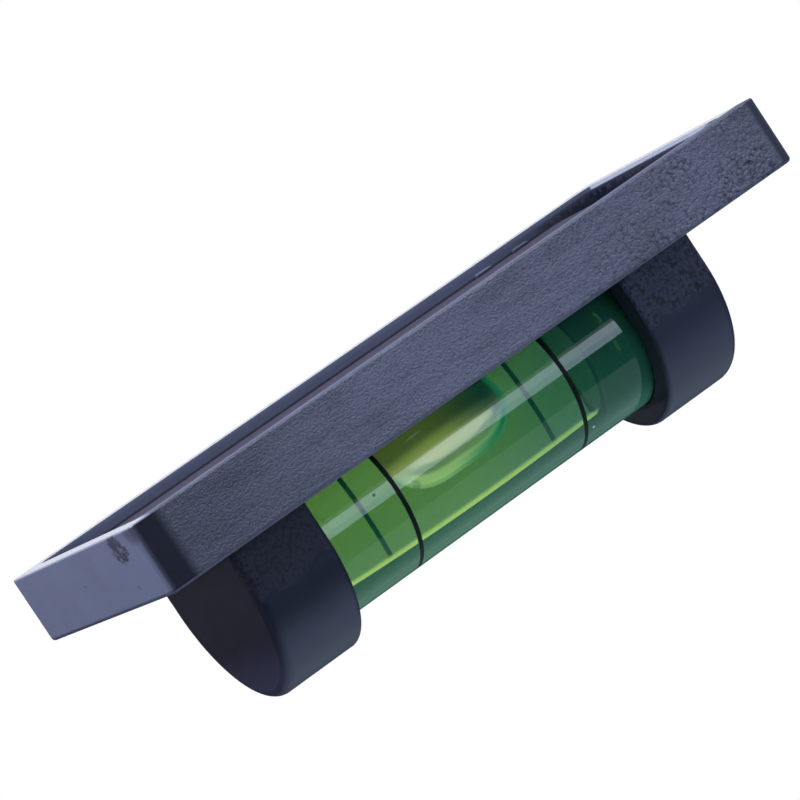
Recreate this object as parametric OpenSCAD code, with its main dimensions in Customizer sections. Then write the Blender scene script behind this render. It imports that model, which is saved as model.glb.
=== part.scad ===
// Magnetic spirit level: a one-piece moulded housing, whose two round posts hold a barrel vial
// over a base plate, and a magnet strip sunk in the pocket of the plate's contact face.
// The contact face lies at z = 0 and the posts stand up from it. The vial runs along X.

/* [Base plate] */
// Length of the base plate
plate_len = 71.2; // [66:0.2:100]
// Width of the base plate
plate_w = 36.5; // [32:0.5:50]
// Radius of the plate's upright corners
plate_corner_r = 0.7; // [0.6:0.1:3]
// Rounding along the plate's upper edge
plate_edge_r = 0.4; // [0.2:0.05:0.5]
// Rounding along the outer edge of the contact face
rim_edge_r = 0.2; // [0.1:0.05:0.4]
// Material between the magnet pocket and the plate's upper face
web_t = 3.1; // [2:0.1:5]

/* [Magnet pocket] */
// Width of the contact rim along each end
rim_end_w = 2.1; // [1.8:0.1:5]
// Width of the contact rim along each side
rim_side_w = 3; // [2:0.1:5]
// Radius of the pocket's upright corners
pocket_corner_r = 1.2; // [0.6:0.1:2.5]
// Depth of the magnet's face below the contact rim
magnet_recess = 1.2; // [0.8:0.05:1.6]
// Thickness of the magnet strip
magnet_t = 2.4; // [1.5:0.1:4]
// Open space between each end of the magnet strip and the pocket
magnet_end_gap = 4.7; // [1:0.1:5]
// Clearance along each side of the magnet strip
magnet_side_gap = 0.15; // [0.05:0.05:0.5]
// Radius of the magnet strip's corners
magnet_corner_r = 0.8; // [0.3:0.1:1.5]

/* [Holding nibs] */
// Width of a nib along the pocket wall
nib_w = 2.1; // [1.2:0.1:2.8]
// How much narrower each side of a nib is at its crest
nib_taper = 0.3; // [0.1:0.05:0.5]
// How far a nib reaches over the magnet
nib_reach = 0.8; // [0.4:0.1:1.2]
// Thickness of a nib at its tip
nib_tip_t = 0.2; // [0.15:0.05:0.4]
// Extra thickness of a nib at the wall, where its lead-in slope starts
nib_slope_t = 0.12; // [0.06:0.02:0.2]
// Distance between the two nibs of a pair
nib_pitch = 4.7; // [3.2:0.1:8]
// Distance from the magnet's nearest end to the middle of the first nib
nib_inset = 4.8; // [2:0.1:8]
// Clearance between a nib and the magnet's face
nib_gap = 0.05; // [0.02:0.01:0.1]

/* [Posts] */
// Thickness of each post along the vial
post_t = 8.7; // [4:0.1:9]
// Wall beside the vial in each post
seat_wall = 2.7; // [1.5:0.1:5]
// How far the centre of the post's round top lies below the vial's axis
post_round_drop = 0.5; // [0:0.1:1]
// Rounding of a post's edge on its outer face
post_outer_edge_r = 1; // [0.4:0.1:1.4]
// Rounding of a post's edge on the face that the vial enters
post_inner_edge_r = 0.5; // [0.2:0.1:0.9]
// Depth of the vial's seat in each post
seat_depth = 2.05; // [1:0.05:3]
// Radial clearance of the vial in its seat
seat_gap = 0.05; // [0.02:0.01:0.15]
// Total play of the vial along its seats
seat_end_play = 0.7; // [0.2:0.1:1]
// Bevel round the mouth of each seat
seat_bevel = 0.3; // [0.1:0.05:0.6]

/* [Vial] */
// Outer diameter of the vial
vial_d = 15; // [12:0.5:18]
// Length of the vial
vial_len = 40; // [34:0.5:44]
// Clearance between the vial and the magnet strip under it
vial_rest_gap = 0.1; // [0.05:0.05:0.3]
// Clearance between the vial and the seat end that it was pushed against
vial_end_gap = 0.05; // [0.02:0.01:0.1]
// Chamfer at each end of the vial
vial_chamfer = 0.4; // [0.2:0.1:0.8]
// Diameter of the liquid's chamber, midway between the rings
bore_d = 7.5; // [7:0.1:8.6]
// Radius of the barrel curve along the chamber
bore_arc_r = 500; // [300:10:900]
// Thickness of the vial's closed end
closed_end_t = 2.6; // [1.5:0.1:4]
// Depth of the seat for the plug in the vial's open end
plug_depth = 6.6; // [3:0.1:7]
// Diameter of the seat for the plug
plug_d = 9.4; // [9:0.1:10.5]
// Clearance round the plug
plug_gap = 0.03; // [0.01:0.01:0.05]
// How far the plug's face lies inside the vial's end
plug_recess = 0.3; // [0.1:0.1:0.8]

/* [Centre rings] */
// Distance between the two rings, middle to middle
ring_pitch = 19.7; // [14:0.1:26]
// Width of a ring
ring_w = 0.45; // [0.3:0.05:1]
// Depth of the groove that holds a ring
ring_t = 0.15; // [0.1:0.05:0.3]

/* [Liquid and bubble] */
// Clearance between the liquid and the chamber wall
liquid_gap = 0.05; // [0.03:0.01:0.1]
// Length of the bubble
bubble_len = 13.6; // [9:0.1:15]
// Depth of the bubble, from its back to the liquid under it
bubble_depth = 3.1; // [2:0.1:3.4]
// Film of liquid between the bubble's back and the chamber wall
bubble_film = 0.3; // [0.2:0.05:0.6]
// Radius of the bubble's back along the vial
bubble_back_r = 60; // [40:5:120]
// Clearance between the bubble and the liquid round it
bubble_gap = 0.05; // [0.03:0.01:0.1]
// Place of the bubble along the vial, from the middle of the rings
bubble_x = 1.75; // [-5:0.05:8]
// Turn of the bubble about the vial, from the front towards the contact face
bubble_turn = 35; // [-180:1:180]

/* [Hidden] */

$fn = 96;
// Segments of a full circle on the small edge roundings
edge_fn = 32;
// Bands that follow a long, flat curve along the vial
arc_bands = 16;
// Overrun of a cut past the face that it opens
cut = 1;

pocket_len = plate_len - 2 * rim_end_w;
pocket_w = plate_w - 2 * rim_side_w;
pocket_depth = magnet_recess + magnet_t;
plate_h = pocket_depth + web_t;
magnet_len = pocket_len - 2 * magnet_end_gap;
magnet_w = pocket_w - 2 * magnet_side_gap;

vial_r = vial_d / 2;
axis_z = pocket_depth + vial_rest_gap + vial_r;
seat_r = vial_r + seat_gap;
seat_span = vial_len + seat_end_play;
post_gap = seat_span - 2 * seat_depth;
post_r = vial_r + seat_wall;
post_round_z = axis_z - post_round_drop;
vial_x = vial_end_gap - seat_end_play / 2;

bore_r = bore_d / 2;
plug_r = plug_d / 2;
plug_len = plug_depth - plug_recess;
// The chamber's two ends, counted from the middle of the vial
chamber_low = plug_depth - vial_len / 2;
chamber_high = vial_len / 2 - closed_end_t;

bubble_back = bore_r - bubble_film;
// The dome towards the liquid meets the curved back at the bubble's two ends
bubble_half = bubble_len / 2;
bubble_dome_h = bubble_depth - arc_sag(bubble_half, bubble_back_r);
bubble_dome_r = (pow(bubble_half, 2) + pow(bubble_dome_h, 2)) / (2 * bubble_dome_h);
bubble_dome_offset = bubble_back - bubble_depth + bubble_dome_r;

housing_color = [0.33, 0.35, 0.43];
magnet_color = [0.17, 0.16, 0.19];
clear_color = [0.8, 0.93, 0.85, 0.35];
liquid_color = [0.42, 0.78, 0.3, 0.6];
bubble_color = [0.86, 0.93, 0.7, 0.6];
ring_color = [0.07, 0.08, 0.08];

// Copies its children to both sides of the plane across X (axis 0) or Y (axis 1)
module both_sides(axis) {
    children();
    mirror(axis == 0 ? [1, 0, 0] : [0, 1, 0])
        children();
}

// Turns a part drawn about Z, or drawn upright, so that its Z runs along the level's X
module along_x() {
    rotate([90, 0, 90])
        children();
}

// Section of an edge: it reaches out along x and is thick along y, with both outer corners round.
// A round wider than the reach would pass the axis that a corner is revolved about, and is cut off there
module edge_section(reach, thick, low_r, high_r) {
    intersection() {
        square([reach, thick]);
        union() {
            square([reach - low_r, thick / 2]);
            translate([0, thick / 2])
                square([reach - high_r, thick / 2]);
            translate([0, low_r])
                square([reach, thick - low_r - high_r]);
            translate([reach - low_r, low_r])
                circle(low_r, $fn = edge_fn);
            translate([reach - high_r, thick - high_r])
                circle(high_r, $fn = edge_fn);
        }
    }
}

// Flat slab with upright round corners, centred on Z
module rounded_slab(length, width, height, corner_r) {
    for (inset = [0, corner_r])
        translate([inset - length / 2, corner_r - inset - width / 2, 0])
            cube([length - 2 * inset, width - 2 * (corner_r - inset), height]);
    both_sides(0)
        both_sides(1)
            translate([length / 2 - corner_r, width / 2 - corner_r, 0])
                cylinder(r = corner_r, h = height);
}

// Base plate before its pocket is cut: a core, four edge bars and four revolved corners
module plate_blank() {
    core_len = plate_len - 2 * plate_corner_r;
    core_w = plate_w - 2 * plate_corner_r;
    translate([-core_len / 2, -core_w / 2, 0])
        cube([core_len, core_w, plate_h]);
    both_sides(1)
        translate([-core_len / 2, core_w / 2, 0])
            along_x()
                linear_extrude(core_len)
                    edge_section(plate_corner_r, plate_h, rim_edge_r, plate_edge_r);
    both_sides(0)
        translate([core_len / 2, core_w / 2, 0])
            rotate([90, 0, 0])
                linear_extrude(core_w)
                    edge_section(plate_corner_r, plate_h, rim_edge_r, plate_edge_r);
    both_sides(0)
        both_sides(1)
            translate([core_len / 2, core_w / 2, 0])
                rotate_extrude(angle = 90)
                    edge_section(plate_corner_r, plate_h, rim_edge_r, plate_edge_r);
}

// Section of a post, from its middle plane to its side, with its thickness along y
module post_section() {
    edge_section(post_r, post_t, post_inner_edge_r, post_outer_edge_r);
}

// One post: straight sides up from the web, closed by a half round
module post() {
    translate([post_gap / 2, 0, pocket_depth])
        linear_extrude(post_round_z - pocket_depth)
            both_sides(1)
                rotate(90)
                    mirror([0, 1])
                        post_section();
    translate([post_gap / 2, 0, post_round_z])
        along_x()
            rotate_extrude(angle = 180)
                post_section();
}

// Slot for the vial: it drops in from the pocket and ends in a half round in each post
module vial_slot() {
    translate([-seat_span / 2, 0, axis_z])
        along_x()
            cylinder(r = seat_r, h = seat_span);
    translate([-seat_span / 2, -seat_r, pocket_depth - cut])
        cube([seat_span, 2 * seat_r, axis_z - pocket_depth + cut]);
}

// Bevel round the mouth of the seat in one post, above the plate
module seat_mouth_bevel() {
    mouth_x = post_gap / 2;
    intersection() {
        translate([mouth_x, 0, axis_z])
            along_x()
                cylinder(r1 = seat_r + seat_bevel, r2 = seat_r, h = seat_bevel);
        translate([mouth_x, -post_r, axis_z])
            cube([seat_bevel, 2 * post_r, post_r]);
    }
    both_sides(1)
        translate([mouth_x, seat_r, plate_h])
            linear_extrude(axis_z - plate_h)
                polygon([[0, 0], [seat_bevel, 0], [0, seat_bevel]]);
}

// Small wedge on the pocket's side wall that snaps over the magnet's face
module nib() {
    nib_base_z = magnet_recess - nib_gap;
    nib_crest_z = nib_base_z - nib_tip_t - nib_slope_t;
    translate([0, pocket_w / 2, 0])
        intersection() {
            translate([-nib_w / 2, 0, 0])
                along_x()
                    linear_extrude(nib_w)
                        polygon([
                            [0, nib_base_z],
                            [-nib_reach, nib_base_z],
                            [-nib_reach, nib_base_z - nib_tip_t],
                            [0, nib_crest_z]
                        ]);
            rotate([90, 0, 0])
                linear_extrude(nib_reach)
                    polygon([
                        [-nib_w / 2, nib_base_z],
                        [nib_w / 2, nib_base_z],
                        [nib_w / 2 - nib_taper, nib_crest_z],
                        [nib_taper - nib_w / 2, nib_crest_z]
                    ]);
        }
}

// A pair of nibs on each side wall, near the end that the magnet is pushed under first
module nibs() {
    both_sides(1)
        for (step = [0, 1])
            translate([nib_inset + step * nib_pitch - magnet_len / 2, 0, 0])
                nib();
}

module housing() {
    color(housing_color) {
        difference() {
            union() {
                plate_blank();
                both_sides(0)
                    post();
            }
            translate([0, 0, -cut])
                rounded_slab(pocket_len, pocket_w, pocket_depth + cut, pocket_corner_r);
            vial_slot();
            both_sides(0)
                seat_mouth_bevel();
        }
        nibs();
    }
}

module magnet_strip() {
    color(magnet_color)
        translate([0, 0, magnet_recess])
            rounded_slab(magnet_len, magnet_w, magnet_t, magnet_corner_r);
}

// Puts a part drawn about Z, with its middle at the origin, in the vial's place
module in_vial() {
    translate([vial_x, 0, axis_z])
        along_x()
            children();
}

// Fall of an arc of radius arc_r at a distance along it from its crest
function arc_sag(distance, arc_r) = arc_r - sqrt(pow(arc_r, 2) - pow(distance, 2));

// Body of revolution from low to high, that bulges to radius at zero along an arc of arc_r
module bulged_rod(radius, low, high, arc_r) {
    rotate_extrude()
        polygon([
            [0, low],
            for (step = [0 : arc_bands])
                let (along = low + (high - low) * step / arc_bands)
                    [radius - arc_sag(along, arc_r), along],
            [0, high]
        ]);
}

// Band round the vial at one of its two marks
module ring_band(side) {
    translate([0, 0, side * ring_pitch / 2])
        rotate_extrude()
            translate([vial_r - ring_t, -ring_w / 2])
                square([ring_t, ring_w]);
}

module vial_barrel() {
    half = vial_len / 2;
    color(clear_color)
        in_vial()
            difference() {
                rotate_extrude()
                    polygon([
                        [0, -half],
                        [vial_r - vial_chamfer, -half],
                        [vial_r, vial_chamfer - half],
                        [vial_r, half - vial_chamfer],
                        [vial_r - vial_chamfer, half],
                        [0, half]
                    ]);
                bulged_rod(bore_r, chamber_low, chamber_high, bore_arc_r);
                translate([0, 0, -half - cut])
                    cylinder(r = plug_r, h = plug_depth + cut);
                for (side = [-1, 1])
                    ring_band(side);
            }
}

// Plug that closes the end through which the chamber was filled
module vial_plug() {
    color(clear_color)
        in_vial()
            translate([0, 0, chamber_low - plug_len])
                cylinder(r = plug_r - plug_gap, h = plug_len);
}

module ring_left() {
    color(ring_color)
        in_vial()
            ring_band(-1);
}

module ring_right() {
    color(ring_color)
        in_vial()
            ring_band(1);
}

// Ball whose surface is the bubble's domed face; grow leaves a clearance in the liquid
module bubble_dome(grow) {
    rotate([0, 0, bubble_turn])
        translate([-bubble_dome_offset, 0, bubble_x])
            sphere(bubble_dome_r + grow);
}

// Filling of the chamber, with a dent where the bubble lies
module liquid() {
    color(liquid_color)
        in_vial()
            difference() {
                bulged_rod(bore_r - liquid_gap, chamber_low + liquid_gap, chamber_high - liquid_gap,
                           bore_arc_r - liquid_gap);
                bubble_dome(bubble_gap);
            }
}

// Lens of air between the domed face and a back that follows the chamber wall
module bubble() {
    color(bubble_color)
        in_vial()
            intersection() {
                translate([0, 0, bubble_x])
                    bulged_rod(bubble_back, -bubble_half, bubble_half, bubble_back_r);
                bubble_dome(0);
            }
}

housing();
magnet_strip();
vial_barrel();
vial_plug();
ring_left();
ring_right();
liquid();
bubble();
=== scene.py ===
# %% [markdown]
# A small magnetic spirit level, dressed for the camera.
# The solid model gives every shape and its place. This lesson adds what a solid can't say:
# the light, the grain of the moulded plastic, the tinted acrylic of the vial, and small marks of making and use.
# The frame is the solid model's own: X along the vial, Z up from the contact face. Blender counts in metres,
# and small places on the level are given in millimetres and turned into metres by the value mm.

# %% Load the solid model
import math

import bpy
from mathutils import Matrix, Vector


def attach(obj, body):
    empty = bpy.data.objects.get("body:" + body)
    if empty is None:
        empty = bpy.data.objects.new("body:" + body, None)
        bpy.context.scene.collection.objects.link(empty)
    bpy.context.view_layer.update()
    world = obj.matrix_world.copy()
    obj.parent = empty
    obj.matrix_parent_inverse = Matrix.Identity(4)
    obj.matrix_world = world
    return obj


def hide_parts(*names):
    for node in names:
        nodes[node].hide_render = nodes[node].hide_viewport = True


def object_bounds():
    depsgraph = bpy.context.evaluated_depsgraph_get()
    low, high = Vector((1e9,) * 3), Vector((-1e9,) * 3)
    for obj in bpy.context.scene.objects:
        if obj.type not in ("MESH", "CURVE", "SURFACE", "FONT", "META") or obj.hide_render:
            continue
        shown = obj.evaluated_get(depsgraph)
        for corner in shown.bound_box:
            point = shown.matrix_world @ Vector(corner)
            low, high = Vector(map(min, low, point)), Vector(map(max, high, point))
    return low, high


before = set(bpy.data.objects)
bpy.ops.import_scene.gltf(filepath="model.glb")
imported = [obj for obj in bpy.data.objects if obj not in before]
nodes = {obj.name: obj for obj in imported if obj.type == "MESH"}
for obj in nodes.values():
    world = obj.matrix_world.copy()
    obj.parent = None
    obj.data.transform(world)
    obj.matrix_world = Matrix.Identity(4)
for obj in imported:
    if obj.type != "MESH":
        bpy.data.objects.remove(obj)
solid_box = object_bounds()
scene = bpy.context.scene
mm = 0.001


def span(node, axis):
    """The lowest and the highest place of a solid along one axis, in millimetres."""
    places = [corner[axis] / mm for corner in nodes[node].bound_box]
    return round(min(places), 2), round(max(places), 2)


print("solids:", sorted(nodes), "box:", [tuple(round(v, 4) for v in corner) for corner in solid_box])
print("the vial reaches from", *span("vial_barrel", 0), "mm along X")

# %% [markdown]
# The photograph shows the level upside down and tilted. The level itself stays in its position of use,
# so the camera looks from a little below the contact face instead, and is rolled.
# It could be placed by hand until the edges agree. Here it is written as a photographer would set it:
# the point aimed at, the distance, the two angles round the object and the roll about the line of sight.

# %% The camera
AIM = Vector((1.197, 0.676, 5.512)) * mm
DISTANCE = 352.8 * mm
AZIMUTH, ELEVATION, ROLL = 22.815, -3.643, -146.584
LENS, SENSOR = 176.18, 36.0


def towards(azimuth, elevation):
    """The direction from the level to someone who stands at two angles, given in degrees."""
    turn, rise = math.radians(azimuth), math.radians(elevation)
    return Vector((math.sin(turn) * math.cos(rise), -math.cos(turn) * math.cos(rise), math.sin(rise)))


def add(name, data):
    """Puts a new object in the scene."""
    made = bpy.data.objects.new(name, data)
    scene.collection.objects.link(made)
    return made


back = towards(AZIMUTH, ELEVATION)
upright = (-back).to_track_quat("-Z", "Y").to_matrix()
rolled = upright @ Matrix.Rotation(math.radians(-ROLL), 3, "Z")
camera = add("camera", bpy.data.cameras.new("camera"))
camera.data.lens, camera.data.sensor_width = LENS, SENSOR
camera.data.clip_start, camera.data.clip_end = 0.01, 20
camera.matrix_world = Matrix.Translation(AIM + back * DISTANCE) @ rolled.to_4x4()
scene.camera = camera
print("camera stands at", [round(v, 4) for v in camera.matrix_world.translation])

# %% [markdown]
# Node maths reads better as plain sums than as rows of nodes.
# A Tree holds the nodes of the world, of one material or of one shape, and its node method adds any node
# with its settings and inputs. A Wire is one output of such a node. A sum on wires adds the Math nodes for it.

# %% Nodes written as sums
class Wire:
    """One output in a tree. Sums on it add Math nodes."""

    def __init__(self, tree, socket):
        self.tree, self.socket = tree, socket

    def sum(self, operation, *values):
        return self.tree.node("ShaderNodeMath", {"operation": operation}, dict(enumerate(values)))

    def __add__(self, other): return self.sum("ADD", self, other)
    def __radd__(self, other): return self.sum("ADD", other, self)
    def __sub__(self, other): return self.sum("SUBTRACT", self, other)
    def __rsub__(self, other): return self.sum("SUBTRACT", other, self)
    def __mul__(self, other): return self.sum("MULTIPLY", self, other)
    def __rmul__(self, other): return self.sum("MULTIPLY", other, self)
    def __truediv__(self, other): return self.sum("DIVIDE", self, other)
    def __rtruediv__(self, other): return self.sum("DIVIDE", other, self)
    def __abs__(self): return self.sum("ABSOLUTE", self)
    def least(self, other): return self.sum("MINIMUM", self, other)
    def most(self, other): return self.sum("MAXIMUM", self, other)
    def below(self, other): return self.sum("LESS_THAN", self, other)
    def root(self): return self.sum("SQRT", self)
    def power(self, other): return self.sum("POWER", self, other)


class Tree:
    """The nodes of the world, a material or a shape."""

    def __init__(self, tree):
        self.tree = tree
        tree.nodes.clear()

    def node(self, kind, settings, inputs, output=0):
        """Adds a node, sets it, joins its inputs to values or wires, and gives one of its outputs."""
        made = self.tree.nodes.new(kind)
        for name, value in settings.items():
            setattr(made, name, value)
        for key, value in inputs.items():
            if isinstance(value, Wire):
                self.tree.links.new(value.socket, made.inputs[key])
            else:
                made.inputs[key].default_value = value
        return Wire(self, made.outputs[output]) if len(made.outputs) else None

    def blend(self, factor, low, high):
        """A colour between low and high."""
        return self.node("ShaderNodeMix", {"data_type": "RGBA"}, {0: factor, 6: low, 7: high}, 2)

# %% [markdown]
# The backdrop is plain white. It could be a lit wall, but then its light would fall on the object as well and
# wash out the dark plastic. Here the world's colour is white for the camera and for reflections only,
# and the light that it gives the object is a softer grey.

# %% The world
SOFT_LIGHT, WHITE = (0.13, 0.14, 0.16, 1), (1, 1, 1, 1)
world = bpy.data.worlds.new("studio")
scene.world = world
world.use_nodes = True
sky = Tree(world.node_tree)
by_eye, by_gloss, by_glass = (sky.node("ShaderNodeLightPath", {}, {}, way)
                              for way in ("Is Camera Ray", "Is Glossy Ray", "Is Transmission Ray"))
backdrop = sky.blend(by_eye.most(by_gloss).most(by_glass), SOFT_LIGHT, WHITE)
sky.node("ShaderNodeOutputWorld", {}, {"Surface": sky.node("ShaderNodeBackground", {}, {"Color": backdrop})})
print("the world is lit", SOFT_LIGHT[:3], "and seen white")

# %% [markdown]
# Every finish below is worked out from the place on the object, so it needs no picture and no wrapping.
# A Finish is a Tree with the few tools that all of them use: soft steps, round patches, noise, pebbles and relief.

# %% Finishes made from the place on the object
class Finish(Tree):
    """A material."""

    def __init__(self, name):
        self.material = bpy.data.materials.new(name)
        self.material.use_nodes = True
        super().__init__(self.material.node_tree)

    def place(self):
        """The place on the object in millimetres, as the three wires x, y and z."""
        spot = self.node("ShaderNodeTexCoord", {}, {}, "Object")
        self.spot = self.node("ShaderNodeVectorMath", {"operation": "SCALE"}, {0: spot, "Scale": 1 / mm})
        return [self.node("ShaderNodeSeparateXYZ", {}, {0: self.spot}, axis) for axis in range(3)]

    def rises(self, value, low, high):
        """0 below low and 1 above high, with a soft change between them."""
        return self.node("ShaderNodeMapRange", {"interpolation_type": "SMOOTHSTEP", "clamp": True},
                         {"Value": value, "From Min": low, "From Max": high})

    def falls(self, value, low, high): return 1 - self.rises(value, low, high)

    def patch(self, across, up, centre, radii, edge=0.4):
        """A round or oval patch, 1 in its middle."""
        off_x, off_y = (across - centre[0]) / radii[0], (up - centre[1]) / radii[1]
        return self.falls(off_x * off_x + off_y * off_y, 1 - edge, 1 + edge)

    def near(self, centre, radius, edge=0.3):
        """A round spot, 1 in its middle, at a place given in millimetres."""
        off = self.node("ShaderNodeVectorMath", {"operation": "DISTANCE"}, {0: self.spot, 1: centre}, "Value")
        return self.falls(off, radius * (1 - edge), radius * (1 + edge))

    def pebbles(self, size):
        """0 in the middle of each pebble and near 1 in the gaps between them."""
        return self.node("ShaderNodeTexVoronoi", {}, {"Vector": self.spot, "Scale": 1 / size}, "Distance")

    def noise(self, size, detail=2.0, roughness=0.5, stretch=(1, 1, 1)):
        """Cloudy noise whose spots are about size millimetres wide."""
        along = self.node("ShaderNodeVectorMath", {"operation": "MULTIPLY"}, {0: self.spot, 1: stretch})
        return self.node("ShaderNodeTexNoise", {}, {"Vector": along, "Scale": 1 / size, "Detail": detail,
                                                    "Roughness": roughness}, "Fac")

    def mix(self, factor, first, second):
        """The first surface where factor is 0, the second where it is 1."""
        return self.node("ShaderNodeMixShader", {}, {0: factor, 1: first, 2: second})

    def glow(self, **inputs): return self.node("ShaderNodeEmission", {}, inputs)

    def principled(self, **inputs):
        return self.node("ShaderNodeBsdfPrincipled", {}, {key.replace("_", " "): v for key, v in inputs.items()})

    def bump(self, height, depth):
        """Normals for a relief whose height of 1 stands depth millimetres proud."""
        return self.node("ShaderNodeBump", {}, {"Height": height, "Distance": depth * mm, "Strength": 1.0})

    def finish(self, surface, **more):
        """Closes the material. A liquid gives its Volume too."""
        self.node("ShaderNodeOutputMaterial", {}, {"Surface": surface, **more})
        return self.material


def dress(piece, material):
    """Gives a piece one material in place of what it came with."""
    piece.data.materials.clear()
    piece.data.materials.append(material)
    print(piece.name, "is finished with", material.name, "of", len(material.node_tree.nodes), "nodes")

# %% [markdown]
# The object rests on a pale floor. The camera looks from just below the floor's level, as one looks at a thing
# held up to the eye, so the floor has to be open from below. Its back face is made transparent,
# and it takes part in the picture only as a surface that catches the object's shadow.

# %% The floor
bpy.ops.mesh.primitive_plane_add(size=6, location=(0, 0, -0.05 * mm))
floor = bpy.context.object
floor.name = "floor"
floor.visible_diffuse = floor.visible_glossy = floor.visible_transmission = floor.visible_shadow = False
paper = Finish("pale_floor")
topside = paper.mix(0.55, paper.node("ShaderNodeBsdfDiffuse", {}, {"Color": (0.93, 0.93, 0.94, 1)}),
                    paper.glow(Color=WHITE))
underside = paper.node("ShaderNodeBsdfTransparent", {}, {})
from_below = paper.node("ShaderNodeNewGeometry", {}, {}, "Backfacing")
dress(floor, paper.finish(paper.mix(from_below, topside, underside)))

# %% [markdown]
# Studio light for dark plastic and clear acrylic. Small lamps would leave hard spots on both, so all are large
# soft boxes. One upright box mirrors itself in the vial and gives the pale stripe along it.
# Two stand on the contact side, so that the plate's edges are lit and its overhang shades the posts.
# A last one opens the posts' round tops, and is kept out of the reflections.

# %% The lamps
def softbox(name, azimuth, elevation, width, height, power, distance=650, tint=(0.9, 0.95, 1), mirrored=True):
    """A rectangular soft light that faces the level from two angles, given in degrees like the camera's."""
    lamp = bpy.data.lights.new(name, "AREA")
    lamp.shape, lamp.size, lamp.size_y = "RECTANGLE", width * mm, height * mm
    lamp.energy, lamp.color = power, tint
    made = add(name, lamp)
    away = towards(azimuth, elevation)
    made.rotation_mode = "QUATERNION"
    made.rotation_quaternion = away.to_track_quat("Z", "Y")
    made.location = AIM + away * distance * mm
    made.visible_glossy = mirrored
    print(name, "stands at", [round(v / mm) for v in made.location], "mm and is", width, "by", height)


softbox("stripe_softbox", -14.5, -1.2, 301.5, 204, 1.0, distance=620, tint=(0.62, 0.77, 0.98))
softbox("contact_side_softbox", -40, -50, 360, 360, 4.4)
softbox("end_softbox", 100, -60, 360, 360, 9.0)
softbox("top_softbox", -10, 80, 420, 420, 1.8, mirrored=False)

# %% [markdown]
# White paper all round would mirror itself in every dark surface and turn it grey. A photographer hangs dark cards
# just outside the picture for that. Here they are seen by reflections only and light or shade nothing.
# The card overhead is pale, and its mirror image is the milky veil on the vial's lower half.
# Below the contact face no card hangs, so the rim still catches the white at a low angle.

# %% The dark cards
FAR, LOW, MIDDLE, HIGH = 1.5, 0.0, 0.9, 1.69
DARK, DIM, PALE = (0.03, 0.03, 0.03, 1), (0.30, 0.36, 0.40, 1), (0.52, 0.66, 0.70, 1)


def card(name, corners, shade):
    """A flat card, seen only as a reflection. Its corners are in metres."""
    mesh = bpy.data.meshes.new(name)
    mesh.from_pydata(corners, [], [(0, 1, 2, 3)])
    made = add(name, mesh)
    made.visible_camera = made.visible_diffuse = made.visible_transmission = made.visible_shadow = False
    felt = Finish(name + "_felt")
    dress(made, felt.finish(felt.glow(Color=shade)))


def wall(name, start, end, low, high, shade):
    """An upright card between two places on the floor."""
    card(name, [(*start, low), (*end, low), (*end, high), (*start, high)], shade)


wall("card_front", (-FAR, -FAR), (FAR, -FAR), LOW, HIGH, DARK)
wall("card_left", (FAR, -FAR), (FAR, FAR), LOW, HIGH, DARK)
wall("card_right", (-FAR, -FAR), (-FAR, FAR), LOW, HIGH, DARK)
wall("card_back", (-FAR, FAR), (FAR, FAR), LOW, MIDDLE, DARK)
wall("card_back_high", (-FAR, FAR), (FAR, FAR), MIDDLE, HIGH, DIM)
card("card_top", [(-FAR, -FAR, HIGH), (FAR, -FAR, HIGH), (FAR, FAR, HIGH), (-FAR, FAR, HIGH)], PALE)

# %% [markdown]
# The housing is one moulding in dark slate plastic. Its long sides carry a fine leather grain that was etched into
# the mould, while the ends and the contact rim are smooth. Near its two corners a long side is smooth as well.
# Each zone of the base plate is a mask between 0 and 1, made from the place on the housing.

# %% Where the zones of the base plate lie
HALF_LEN, HALF_W = (round(v / mm, 2) for v in solid_box[1][:2])
PLATE_H, RIM_END, RIM_SIDE = 6.7, 2.1, 3.0
POCKET_X, POCKET_Y = HALF_LEN - RIM_END, HALF_W - RIM_SIDE
MAGNET_Z, POCKET_TOP = span("magnet_strip", 2)
# Each dull chip on the rim's far edge, as its place along X and its half length
CHIPS = ((12.2, 0.8), (5.3, 0.4), (-20.6, 0.5), (-33.0, 0.9))

plastic = Finish("slate_plastic")
x, y, z = plastic.place()
rises, falls = plastic.rises, plastic.falls
on_plate = falls(z, PLATE_H, PLATE_H + 0.1)
on_side = rises(abs(y), HALF_W - 0.35, HALF_W - 0.05) * on_plate
on_end = rises(abs(x), HALF_LEN - 0.35, HALF_LEN - 0.1) * on_plate
# The smooth strips near the two corners are also painted dark: painted shade, standing for the dark room that the
# corners mirror.
wide_strip = rises(x, HALF_LEN - 3.5, HALF_LEN - 2.2) * falls(x, HALF_LEN - 0.7, HALF_LEN - 0.05)
thin_strip = falls(x, 0.9 - HALF_LEN, 1.3 - HALF_LEN) * rises(x, 0.1 - HALF_LEN, 0.4 - HALF_LEN)
smooth_shaded_strip = on_side * (wide_strip + thin_strip)
on_rim = falls(z, 0.03, 0.15)
# The near rim is painted darker and streaky: painted shade.
near_rim = on_rim * falls(y, -POCKET_Y - 0.1, -POCKET_Y) * falls(x, POCKET_X - 0.5, POCKET_X + 0.5)
in_pocket = (falls(abs(y), POCKET_Y + 0.02, POCKET_Y + 0.08) * falls(abs(x), POCKET_X + 0.02, POCKET_X + 0.08)
             * falls(z, POCKET_TOP + 0.1, POCKET_TOP + 0.4))
chips = sum(on_rim * plastic.patch(x, y, (chip_x, HALF_W - 0.05), (half, 0.6), 0.6) for chip_x, half in CHIPS)
print("the plate is", 2 * HALF_LEN, "by", 2 * HALF_W, "mm and its magnet lies", MAGNET_Z, "mm deep")

# %% [markdown]
# The posts are smooth on their rounds and on their outer faces, and pebbly on their straight flats.
# The grain ends in an uneven line, as etching does, so a little noise is added to the height before the step.
# A thin edge round each seat is painted light, a painted highlight.

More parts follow.
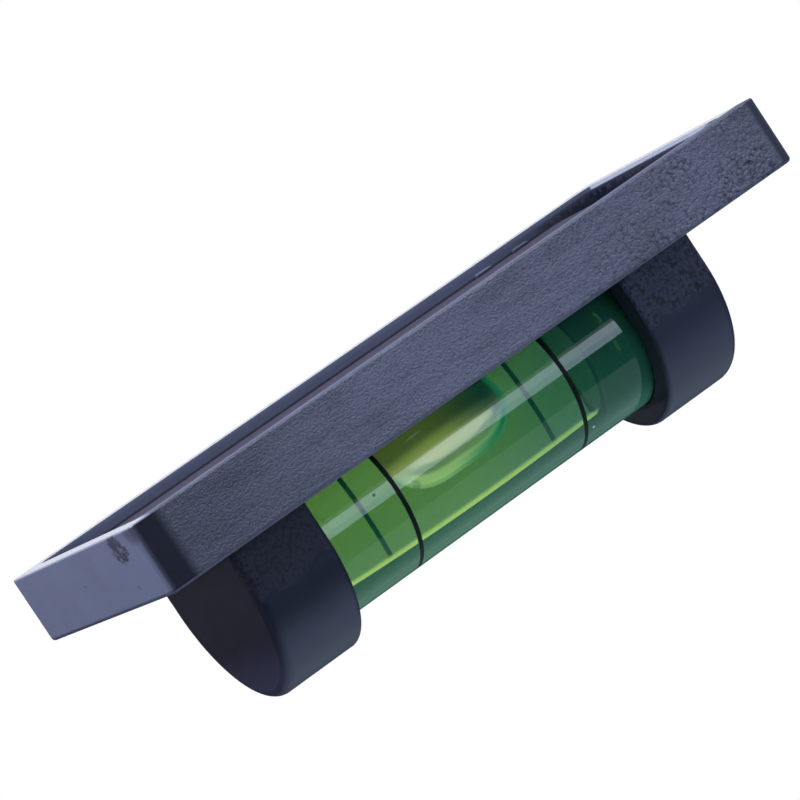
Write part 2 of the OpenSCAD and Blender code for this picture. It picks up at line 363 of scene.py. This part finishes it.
# %% Where the zones of the posts lie
POST_IN, POST_OUT, POST_R, SEAT_R = 18.3, 27.0, 10.2, 7.55
VIAL_Z = round(sum(span("vial_barrel", 2)) / 2, 1)


def from_axis(y, z):
    """The distance from the vial's axis, in millimetres."""
    return (y * y + (z - VIAL_Z) * (z - VIAL_Z)).root()


on_post = 1 - on_plate
on_post_face = on_post * rises(abs(x), POST_OUT - 0.4, POST_OUT - 0.05)
wobble = plastic.noise(3.0, 2, 0.5)
# Painted shade: the posts are painted darker near the plate, whose overhang shades them.
post_shade_near_plate = on_post * falls(z + 1.5 * (wobble - 0.5), VIAL_Z + 2.8, VIAL_Z + 6.3)
on_post_grain = (on_post * rises(abs(y), POST_R - 0.6, POST_R - 0.3)
                 * falls(z + 2.5 * (wobble - 0.5), VIAL_Z + 0.4, VIAL_Z + 1.4))
# A painted highlight on the edge of each seat.
seat_edge_highlight = (on_post * falls(abs(x), POST_IN + 0.2, POST_IN + 0.5)
                * falls(from_axis(y, z), SEAT_R + 0.2, SEAT_R + 0.4))
grained = (on_side * (1 - smooth_shaded_strip) * falls(x, HALF_LEN - 2.6, HALF_LEN - 2.1) + on_post_grain).least(1.0)
print("the vial's axis lies", VIAL_Z, "mm up, and grain lies on the long sides and the posts' flats")

# %% [markdown]
# Wear and light handling leave small differences of shade. A tone between 0 and 1 says how light each zone is.
# The zones could each have a material of their own, but then their borders would be hard. Here every layer
# paints its own tone over the ones before, and the soft mask makes the border.

# %% The tone of each zone
# Each small nick in the left end face, as its place across and up and its size
NICKS = (((0.6, 3.2), 0.3), ((-11.8, 5.05), 0.35), ((6.5, 4.6), 0.2), ((-4.4, 1.2), 0.18))


def paint(tone, mask, value): return tone + mask * (value - tone)


cloud = plastic.noise(7.0, 3, 0.6)
streak = plastic.noise(1.6, 4, 0.65, stretch=(0.25, 1, 1))
blotch = plastic.noise(0.8, 3, 0.6)
lumps = plastic.noise(0.7, 3, 0.6)
left_end = on_end * rises(x, 0, 1)
smudge = rises(plastic.patch(y, z, (-12.6, 1.1), (2.1, 1.6), 0.9) + 2.2 * (blotch - 0.5), 0.5, 1.1) * left_end
worn_corner = plastic.patch(y, z, (-17.3, 0.2), (1.4, 1.3), 0.8) * left_end
# A painted highlight: a thin light line along the top edge of each long side.
top_edge_highlight = on_side * rises(z, PLATE_H - 0.28, PLATE_H - 0.15) * falls(z, PLATE_H - 0.04, PLATE_H + 0.02)
layers = [
    # The posts, with painted shade near the plate
    (post_shade_near_plate, 0.14 + 0.14 * falls(x, -10, 10)),
    (on_post_grain, 0.20 + 0.26 * falls(x, -10, 10)),
    # The long sides of the plate, darker towards the pebbly end, with painted shade on the smooth strips near the
    # corners
    (on_side, 0.46 + 0.38 * falls(x, 8, 33) - 0.16 * falls(x, -38, -26)),
    (smooth_shaded_strip, 0.2 * falls(x, -1, 1)),
    # A painted highlight along the top edge
    (top_edge_highlight, 0.85),
    # The ends, with the marks of use on the left one
    (on_end, 0.96),
    (0.9 * smudge, 0.08),
    (0.7 * worn_corner, 0.2),
    *((0.6 * left_end * plastic.patch(y, z, centre, (size, 0.6 * size)), 0.4) for centre, size in NICKS),
    # The pocket, with painted shade: dark at the far end and darkest where its wall meets the magnet
    (in_pocket, 0.52 - 0.36 * falls(x, -30, -18)),
    (in_pocket * rises(z, 0.5, 0.8) * falls(x, -28, -26), 0.25 * rises(lumps, 0.4, 0.65)),
    (in_pocket * falls(z, 0.25, 0.55), 0.7 * streak + 0.3),
    (in_pocket * rises(z, MAGNET_Z - 0.28, MAGNET_Z - 0.08), 0.04),
    # The contact rim, with painted shade on its near side, and the painted highlight on the edge of each seat
    (on_rim, 1.0),
    (near_rim, 0.1 + 0.5 * streak),
    (chips, 0.1),
    (seat_edge_highlight, 0.9),
]
tone = 0.36
for mask, value in layers:
    tone = paint(tone, mask, value)
tone = tone * (0.86 + 0.28 * cloud)
print(len(layers), "layers of tone lie on the housing")

# %% [markdown]
# The grain is fine and a little streaky at one end and turns into coarse pebbles towards the other.
# A picture of grain could be wrapped round the housing. Noise on the place needs no wrapping and stays true in
# size. The gaps between the pebbles are dark, because little light reaches them.

# %% The grain
fine = plastic.noise(0.2, 3, 0.55, stretch=(0.7, 1, 1))
coarse = plastic.noise(0.42, 4, 0.7)
gaps = plastic.pebbles(0.42) + 1.6 * (coarse - 0.5)
patchy = 0.35 + 0.65 * rises(plastic.noise(3.0, 3, 0.6) + 0.03 * (z - 3.0), 0.44, 0.60)
coarser = (falls(x, -34.0, 4.0) * patchy + 0.8 * on_post_grain).least(1.0)
grain = fine * (0.36 - 0.16 * coarser) + 0.25 * streak + coarser * (0.7 * coarse - 0.30 * gaps)
relief = grained * grain + 0.05 * plastic.noise(0.12, 1, 0.5) + 0.2 * smudge * blotch
shade = 1 - grained * (0.6 * coarser * rises(gaps, 0.50, 0.80) + 0.3 * falls(fine, 0.32, 0.5)
                       + 0.25 * falls(streak, 0.3, 0.6))
print("grain and tone take", len(plastic.tree.nodes), "nodes")

# %% [markdown]
# The plastic itself: one slate blue-grey, brought to each zone's tone. The posts' outer faces are painted a darker
# blue, a painted reflection of the dark room that they mirror. The top of the pocket's far end wall is a painted
# highlight.

# %% The slate plastic
NEARLY_BLACK, SLATE, SIDE_SLATE = (0.001, 0.002, 0.012, 1), (0.106, 0.120, 0.208, 1), (0.110, 0.120, 0.188, 1)
FACE_SHADE_SLATE, EDGE_HIGHLIGHT = (0.043, 0.044, 0.098, 1), (0.42, 0.45, 0.58, 1)
# A painted highlight along the top of the pocket's far end wall.
pocket_edge_highlight = (falls(z, 0.30, 0.42) * rises(y, -13, -11) * falls(y, 14, 15)
             * falls(x, -POCKET_X + 0.02, -POCKET_X + 0.08) * rises(x, -POCKET_X - 0.04, -POCKET_X - 0.02))
colour = plastic.blend(tone * shade, NEARLY_BLACK, plastic.blend(on_side, SLATE, SIDE_SLATE))
colour = plastic.blend(on_post_face, colour, FACE_SHADE_SLATE)
colour = plastic.blend(pocket_edge_highlight, colour, EDGE_HIGHLIGHT)
roughness = 0.42 + 0.1 * grained + 0.08 * (cloud - 0.5) + 0.2 * smudge
for mask, value in ((smooth_shaded_strip, 0.85), (on_post_face, 0.28), (on_rim, 0.12 + 0.7 * (near_rim + chips))):
    roughness = paint(roughness, mask, value)
dress(nodes["housing"], plastic.finish(plastic.principled(
    Base_Color=colour, Roughness=roughness, IOR=1.5, Specular_IOR_Level=0.3, Normal=plastic.bump(relief, 0.36))))

# %% [markdown]
# The magnet is a strip of magnetic rubber pressed into the pocket: matte, nearly black and faintly mottled.
# One flat grey would do at this size, but a little mottling keeps it from looking like a hole.
# It is seen at a very low angle, where even a dull surface mirrors the sky, so its gloss is kept almost off.

# %% The magnet strip
rubber = Finish("magnetic_rubber")
rubber.place()
mottle, grit = rubber.noise(1.3, 4, 0.65), rubber.noise(0.35, 2, 0.6)
dress(nodes["magnet_strip"], rubber.finish(rubber.principled(
    Base_Color=rubber.blend(mottle, (0.014, 0.013, 0.026, 1), (0.048, 0.042, 0.066, 1)),
    Roughness=0.8 + 0.1 * mottle, Specular_IOR_Level=0.05, Normal=rubber.bump(mottle + 0.6 * grit, 0.15))))

# %% [markdown]
# The vial is a thick acrylic rod, tinted green, with a little haze on it. The haze is painted lighter towards its
# lower half, painted light away from the plate's shade, and the tint is painted darker towards the plug end, a
# painted shade of the post.
# It could be plain coloured glass, but a real rod scatters some light in its skin, so a dull green surface is
# mixed into the polished one. Two dark specks and two painted glints break its evenness.

# %% The acrylic barrel
AIR, LIQUID, ACRYLIC = 1.0, 1.465, 1.49
acrylic = Finish("tinted_acrylic")
x, y, z = acrylic.place()
# Painted shade: the tint is darker towards the plug end, where the post shades the vial.
along = acrylic.rises(x, -14.5, 5.0)
# Painted light: the haze is lighter and thicker towards the lower half, away from the plate's shade.
lower = acrylic.rises(z, VIAL_Z + 4.6, VIAL_Z + 7.4)
tint = acrylic.blend(along, (0.040, 0.13, 0.075, 1), (0.13, 0.25, 0.065, 1))
milk = acrylic.blend(lower, acrylic.blend(along, (0.05, 0.36, 0.22, 1), (0.03, 0.44, 0.22, 1)),
                     acrylic.blend(along, (0.14, 0.46, 0.31, 1), (0.20, 0.56, 0.34, 1)))
speck = acrylic.near((11.63, -7.46, 10.46), 0.14) + 0.45 * acrylic.near((7.75, -7.48, 11.9), 0.40)
# Two painted glints: small painted highlights on the acrylic.
painted_glint = acrylic.near((-11.04, -4.48, 17.22), 0.13) + 0.6 * acrylic.near((7.9, -7.48, 11.65), 0.12)
milk = acrylic.blend(painted_glint, acrylic.blend(speck, milk, (0.01, 0.10, 0.05, 1)), (0.75, 0.9, 0.8, 1))
polished = acrylic.principled(Base_Color=tint, Roughness=0.0, Transmission_Weight=1.0, IOR=ACRYLIC)
haze = acrylic.principled(Base_Color=milk, Roughness=0.6, Specular_IOR_Level=0.0)
outer = acrylic.mix((0.22 + 0.18 * lower + 0.6 * speck + 0.6 * painted_glint).least(0.95), polished, haze)
print("the vial's outer surface takes", len(acrylic.tree.nodes), "nodes")

# %% [markdown]
# Light bends three times on its way: into the acrylic, into the liquid and into the air of the bubble.
# A ray tracer gets this right only where each boundary is one surface with the ratio of the two materials'
# refractive indices. The barrel's chamber wall therefore stands for acrylic against liquid, and the skins of the
# liquid and the plug bend nothing. Where the wall is seen edge on, a painted glow gives the bright line of light
# it gathers.

# %% The chamber in the barrel
CHAMBER_LOW, CHAMBER_HIGH = span("liquid", 0)
CLEAR = dict(Roughness=0.0, Transmission_Weight=1.0, Base_Color=WHITE)
edge_on = acrylic.rises(acrylic.node("ShaderNodeLayerWeight", {}, {"Blend": 0.5}, "Facing"), 0.60, 0.84)
in_chamber = (acrylic.rises(x, CHAMBER_LOW + 0.05, CHAMBER_LOW + 0.45)
              * acrylic.falls(x, CHAMBER_HIGH - 0.25, CHAMBER_HIGH - 0.05))
bent = acrylic.principled(**CLEAR, IOR=ACRYLIC / LIQUID)
painted_glow_line = acrylic.glow(Color=(0.85, 0.95, 0.36, 1), Strength=1.3)
chamber_wall = acrylic.mix(0.95 * edge_on * in_chamber, bent, painted_glow_line)
at_plug = acrylic.falls(x, CHAMBER_LOW - 0.1, CHAMBER_LOW - 0.05)
inner = acrylic.mix(at_plug, chamber_wall, acrylic.principled(**CLEAR, IOR=1.0))
inside = acrylic.falls(from_axis(y, z), 4.8, 5.2)
dress(nodes["vial_barrel"], acrylic.finish(acrylic.mix(inside, outer, inner)))
print("the chamber reaches from", CHAMBER_LOW, "to", CHAMBER_HIGH, "mm along X")

# %% [markdown]
# The plug closes the end through which the vial was filled. It is the same acrylic, set in glue, and it is dim
# because it sits inside a dark post. Some light reaches it from the chamber, so it is lighter at that end.

# %% The plug
plug = Finish("plug_acrylic")
x, y, z = plug.place()
clear = plug.principled(Roughness=0.0, Transmission_Weight=1.0, Base_Color=(0.6, 0.85, 0.7, 1), IOR=1.0)
lit = plug.rises(x, CHAMBER_LOW - 4.85, CHAMBER_LOW - 0.85)
# Painted shade: the plug's dim colour, lighter towards the chamber.
shaded_plug = plug.principled(Base_Color=plug.blend(lit, (0.09, 0.15, 0.12, 1), (0.15, 0.30, 0.19, 1)),
                        Roughness=0.5, Specular_IOR_Level=0.0)
dress(nodes["vial_plug"], plug.finish(plug.mix(0.5, clear, shaded_plug)))

# %% [markdown]
# The liquid is a clear yellow-green spirit. Its colour could be painted on its skin, but then a thin layer would
# look as green as a thick one. Absorption in its volume takes more light where there is more liquid.

# %% The liquid
green = Finish("green_liquid")
absorbed = green.node("ShaderNodeVolumeAbsorption", {}, {"Color": (0.72, 0.96, 0.35, 1), "Density": 100.0})
dress(nodes["liquid"], green.finish(green.principled(**CLEAR, IOR=1.0), Volume=absorbed))

# %% [markdown]
# A piece whose shape follows a rule is best written as that rule. Geometry Nodes keep the rule open:
# its sizes are named inputs, and a change of one of them gives the new shape without any work by hand.
# A Shape is a Tree with such inputs, and its build method turns the result into a plain mesh.

# %% A shape written as a rule
class Shape(Tree):
    """A Geometry Nodes tree with named inputs in millimetres."""

    def __init__(self, name, sizes):
        super().__init__(bpy.data.node_groups.new(name, "GeometryNodeTree"))
        face = self.tree.interface
        face.new_socket("Geometry", in_out="OUTPUT", socket_type="NodeSocketGeometry")
        self.settings = {face.new_socket(key, in_out="INPUT", socket_type="NodeSocketFloat").identifier: size
                         for key, size in sizes.items()}
        self.size = {key: self.node("NodeGroupInput", {}, {}, key) for key in sizes}

    def vector(self, x, y, z): return self.node("ShaderNodeCombineXYZ", {}, {0: x, 1: y, 2: z})

    def split(self, vector):
        return [self.node("ShaderNodeSeparateXYZ", {}, {0: vector}, axis) for axis in range(3)]

    def build(self, name, geometry, material):
        """Realizes the shape as a plain mesh object in metres, dressed in its material."""
        real = self.node("GeometryNodeRealizeInstances", {}, {0: geometry})
        smooth = self.node("GeometryNodeSetShadeSmooth", {}, {0: real})
        dressed = self.node("GeometryNodeSetMaterial", {}, {0: smooth, "Material": material})
        self.node("NodeGroupOutput", {}, {0: dressed})
        carrier = add(name + "_carrier", bpy.data.meshes.new(name + "_carrier"))
        modifier = carrier.modifiers.new(name, "NODES")
        modifier.node_group = self.tree
        for identifier, size in self.settings.items():
            modifier[identifier] = float(size)
        bpy.context.view_layer.update()
        ready = carrier.evaluated_get(bpy.context.evaluated_depsgraph_get())
        mesh = bpy.data.meshes.new_from_object(ready)
        bpy.data.objects.remove(carrier)
        mesh.name = name
        print(name, "has", len(mesh.polygons), "faces")
        return add(name, mesh)

# %% [markdown]
# The bubble is a lens of air: its back follows the round chamber, its front bulges into the liquid, and the two
# meet in a soft rim. It could be sculpted. Its shape follows a rule, so Geometry Nodes write the rule down:
# a ball is pressed flat and squared a little at its corners, its upper half is laid on the chamber's curve
# and its lower half hangs below that.

# %% The bubble's shape
BUBBLE_LOW, BUBBLE_HIGH = span("bubble", 0)
BUBBLE_X, BUBBLE_HALF, BUBBLE_WIDE = (BUBBLE_LOW + BUBBLE_HIGH) / 2, (BUBBLE_HIGH - BUBBLE_LOW) / 2, 3.1
# The bubble is turned from the front towards the contact face, which is up in the photograph
BUBBLE_TURN = math.radians(35.0)
COS, SIN = math.cos(BUBBLE_TURN), math.sin(BUBBLE_TURN)

lens = Shape("bubble_rule", {"Half length": BUBBLE_HALF, "Half width": BUBBLE_WIDE, "Depth": 2.2,
                             "Back radius": 3.45, "Back curve": 60.0, "Squareness": 3.0})
ball = lens.node("GeometryNodeMeshUVSphere", {}, {"Segments": 160, "Rings": 96, "Radius": 1.0})
a, b, c = lens.split(lens.node("GeometryNodeInputPosition", {}, {}))
square, curve = lens.size["Squareness"], lens.size["Back curve"]
squared = ((a * a + b * b + 0.0001).root()
           / (abs(a).power(square) + abs(b).power(square) + 0.000001).power(1 / square))
far, wide = a * squared * lens.size["Half length"], b * squared * lens.size["Half width"]
back_r = lens.size["Back radius"] - curve + (curve * curve - far * far).root()
lift = (back_r * back_r - wide * wide).root() - c.below(0.0) * abs(c) * lens.size["Depth"]
spot = lens.vector((far + BUBBLE_X) * mm, (lift * -COS + wide * -SIN) * mm,
                   (lift * -SIN + wide * COS + VIAL_Z) * mm)
pressed = lens.node("GeometryNodeSetPosition", {}, {0: ball, "Position": spot})
print("the bubble's middle lies", round(BUBBLE_X, 3), "mm along X and its half length is", round(BUBBLE_HALF, 3))

# %% [markdown]
# A bubble bends the view of all that lies round it into bands. Here the bands are painted on it by their place as
# a glow,
# painted light and shade: olive over most of it, then a yellow band, a pale one, a darker crescent, a bright one,
# a teal outline and a small painted highlight. Pure glass would need the photographer's whole room round it to
# give them.

# %% The bubble's bands
air = Finish("air_bubble")
x, y, z = air.place()
out_x, out_w = (x - BUBBLE_X) / BUBBLE_HALF, (y * -SIN + (z - VIAL_Z) * COS) / BUBBLE_WIDE
ring = (abs(out_x).power(3.0) + abs(out_w).power(3.0)).power(1 / 3)
left, low = air.rises(x, -4.5, 4.0), air.rises(out_w, 0.45, 0.72)
bands = [
    (air.rises(out_w, 0.06, 0.36), air.blend(left, (0.10, 0.13, 0.08, 1), (0.62, 0.58, 0.18, 1))),
    (air.rises(out_w, 0.38, 0.50) * air.falls(ring, 0.72, 0.84), (1.15, 1.0, 0.78, 1)),
    (air.rises(ring, 0.68, 0.73) * low, (0.26, 0.40, 0.24, 1)),
    (air.rises(ring, 0.82, 0.89) * low, air.blend(left, (0.22, 0.62, 0.42, 1), (0.88, 1.10, 0.70, 1))),
    (air.rises(ring, 0.88, 0.95) * (1 - left), (0.02, 0.26, 0.15, 1)),
    (air.rises(ring, 0.965, 0.99) * (1 - 0.6 * left),
     air.blend(low, (0.03, 0.34, 0.21, 1), (0.07, 0.44, 0.24, 1))),
    # A small painted highlight near the plate's edge
    (air.patch(out_x, out_w, (0.40, -0.07), (0.12, 0.03), 0.9), (0.22, 0.28, 0.26, 1)),
]
colour = air.blend(left, (0.006, 0.010, 0.006, 1), (0.16, 0.15, 0.012, 1))
for mask, band in bands:
    colour = air.blend(mask, colour, band)
glass = air.node("ShaderNodeBsdfGlass", {}, {"Color": WHITE, "Roughness": 0.0, "IOR": AIR / LIQUID})
bubble = lens.build("air_bubble", pressed, air.finish(air.mix(0.85, glass, air.glow(Color=colour))))
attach(bubble, "bubble")
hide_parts("bubble")

# %% [markdown]
# The two rings show where the bubble stands when the level lies true. They are black ink in shallow grooves.
# They could be a mask on the acrylic, but as solids of their own they keep a sharp edge at any distance
# and only need a finish: almost matte, with a faint cloudiness so that they don't look drawn.

# %% The rings
ink = Finish("ring_ink")
ink.place()
inked = ink.blend(ink.noise(0.8), (0.004, 0.006, 0.006, 1), (0.012, 0.016, 0.015, 1))
ring_ink = ink.finish(ink.principled(Base_Color=inked, Roughness=0.5, Specular_IOR_Level=0.1))
for side in ("left", "right"):
    dress(nodes["ring_" + side], ring_ink)

# %% [markdown]
# Last, the picture is set to show colours as they are, and the box of the dressed level is written beside that of
# the solid model, so that anyone can see that the finishes changed no size.

# %% Hand over
scene.view_settings.view_transform = "Standard"
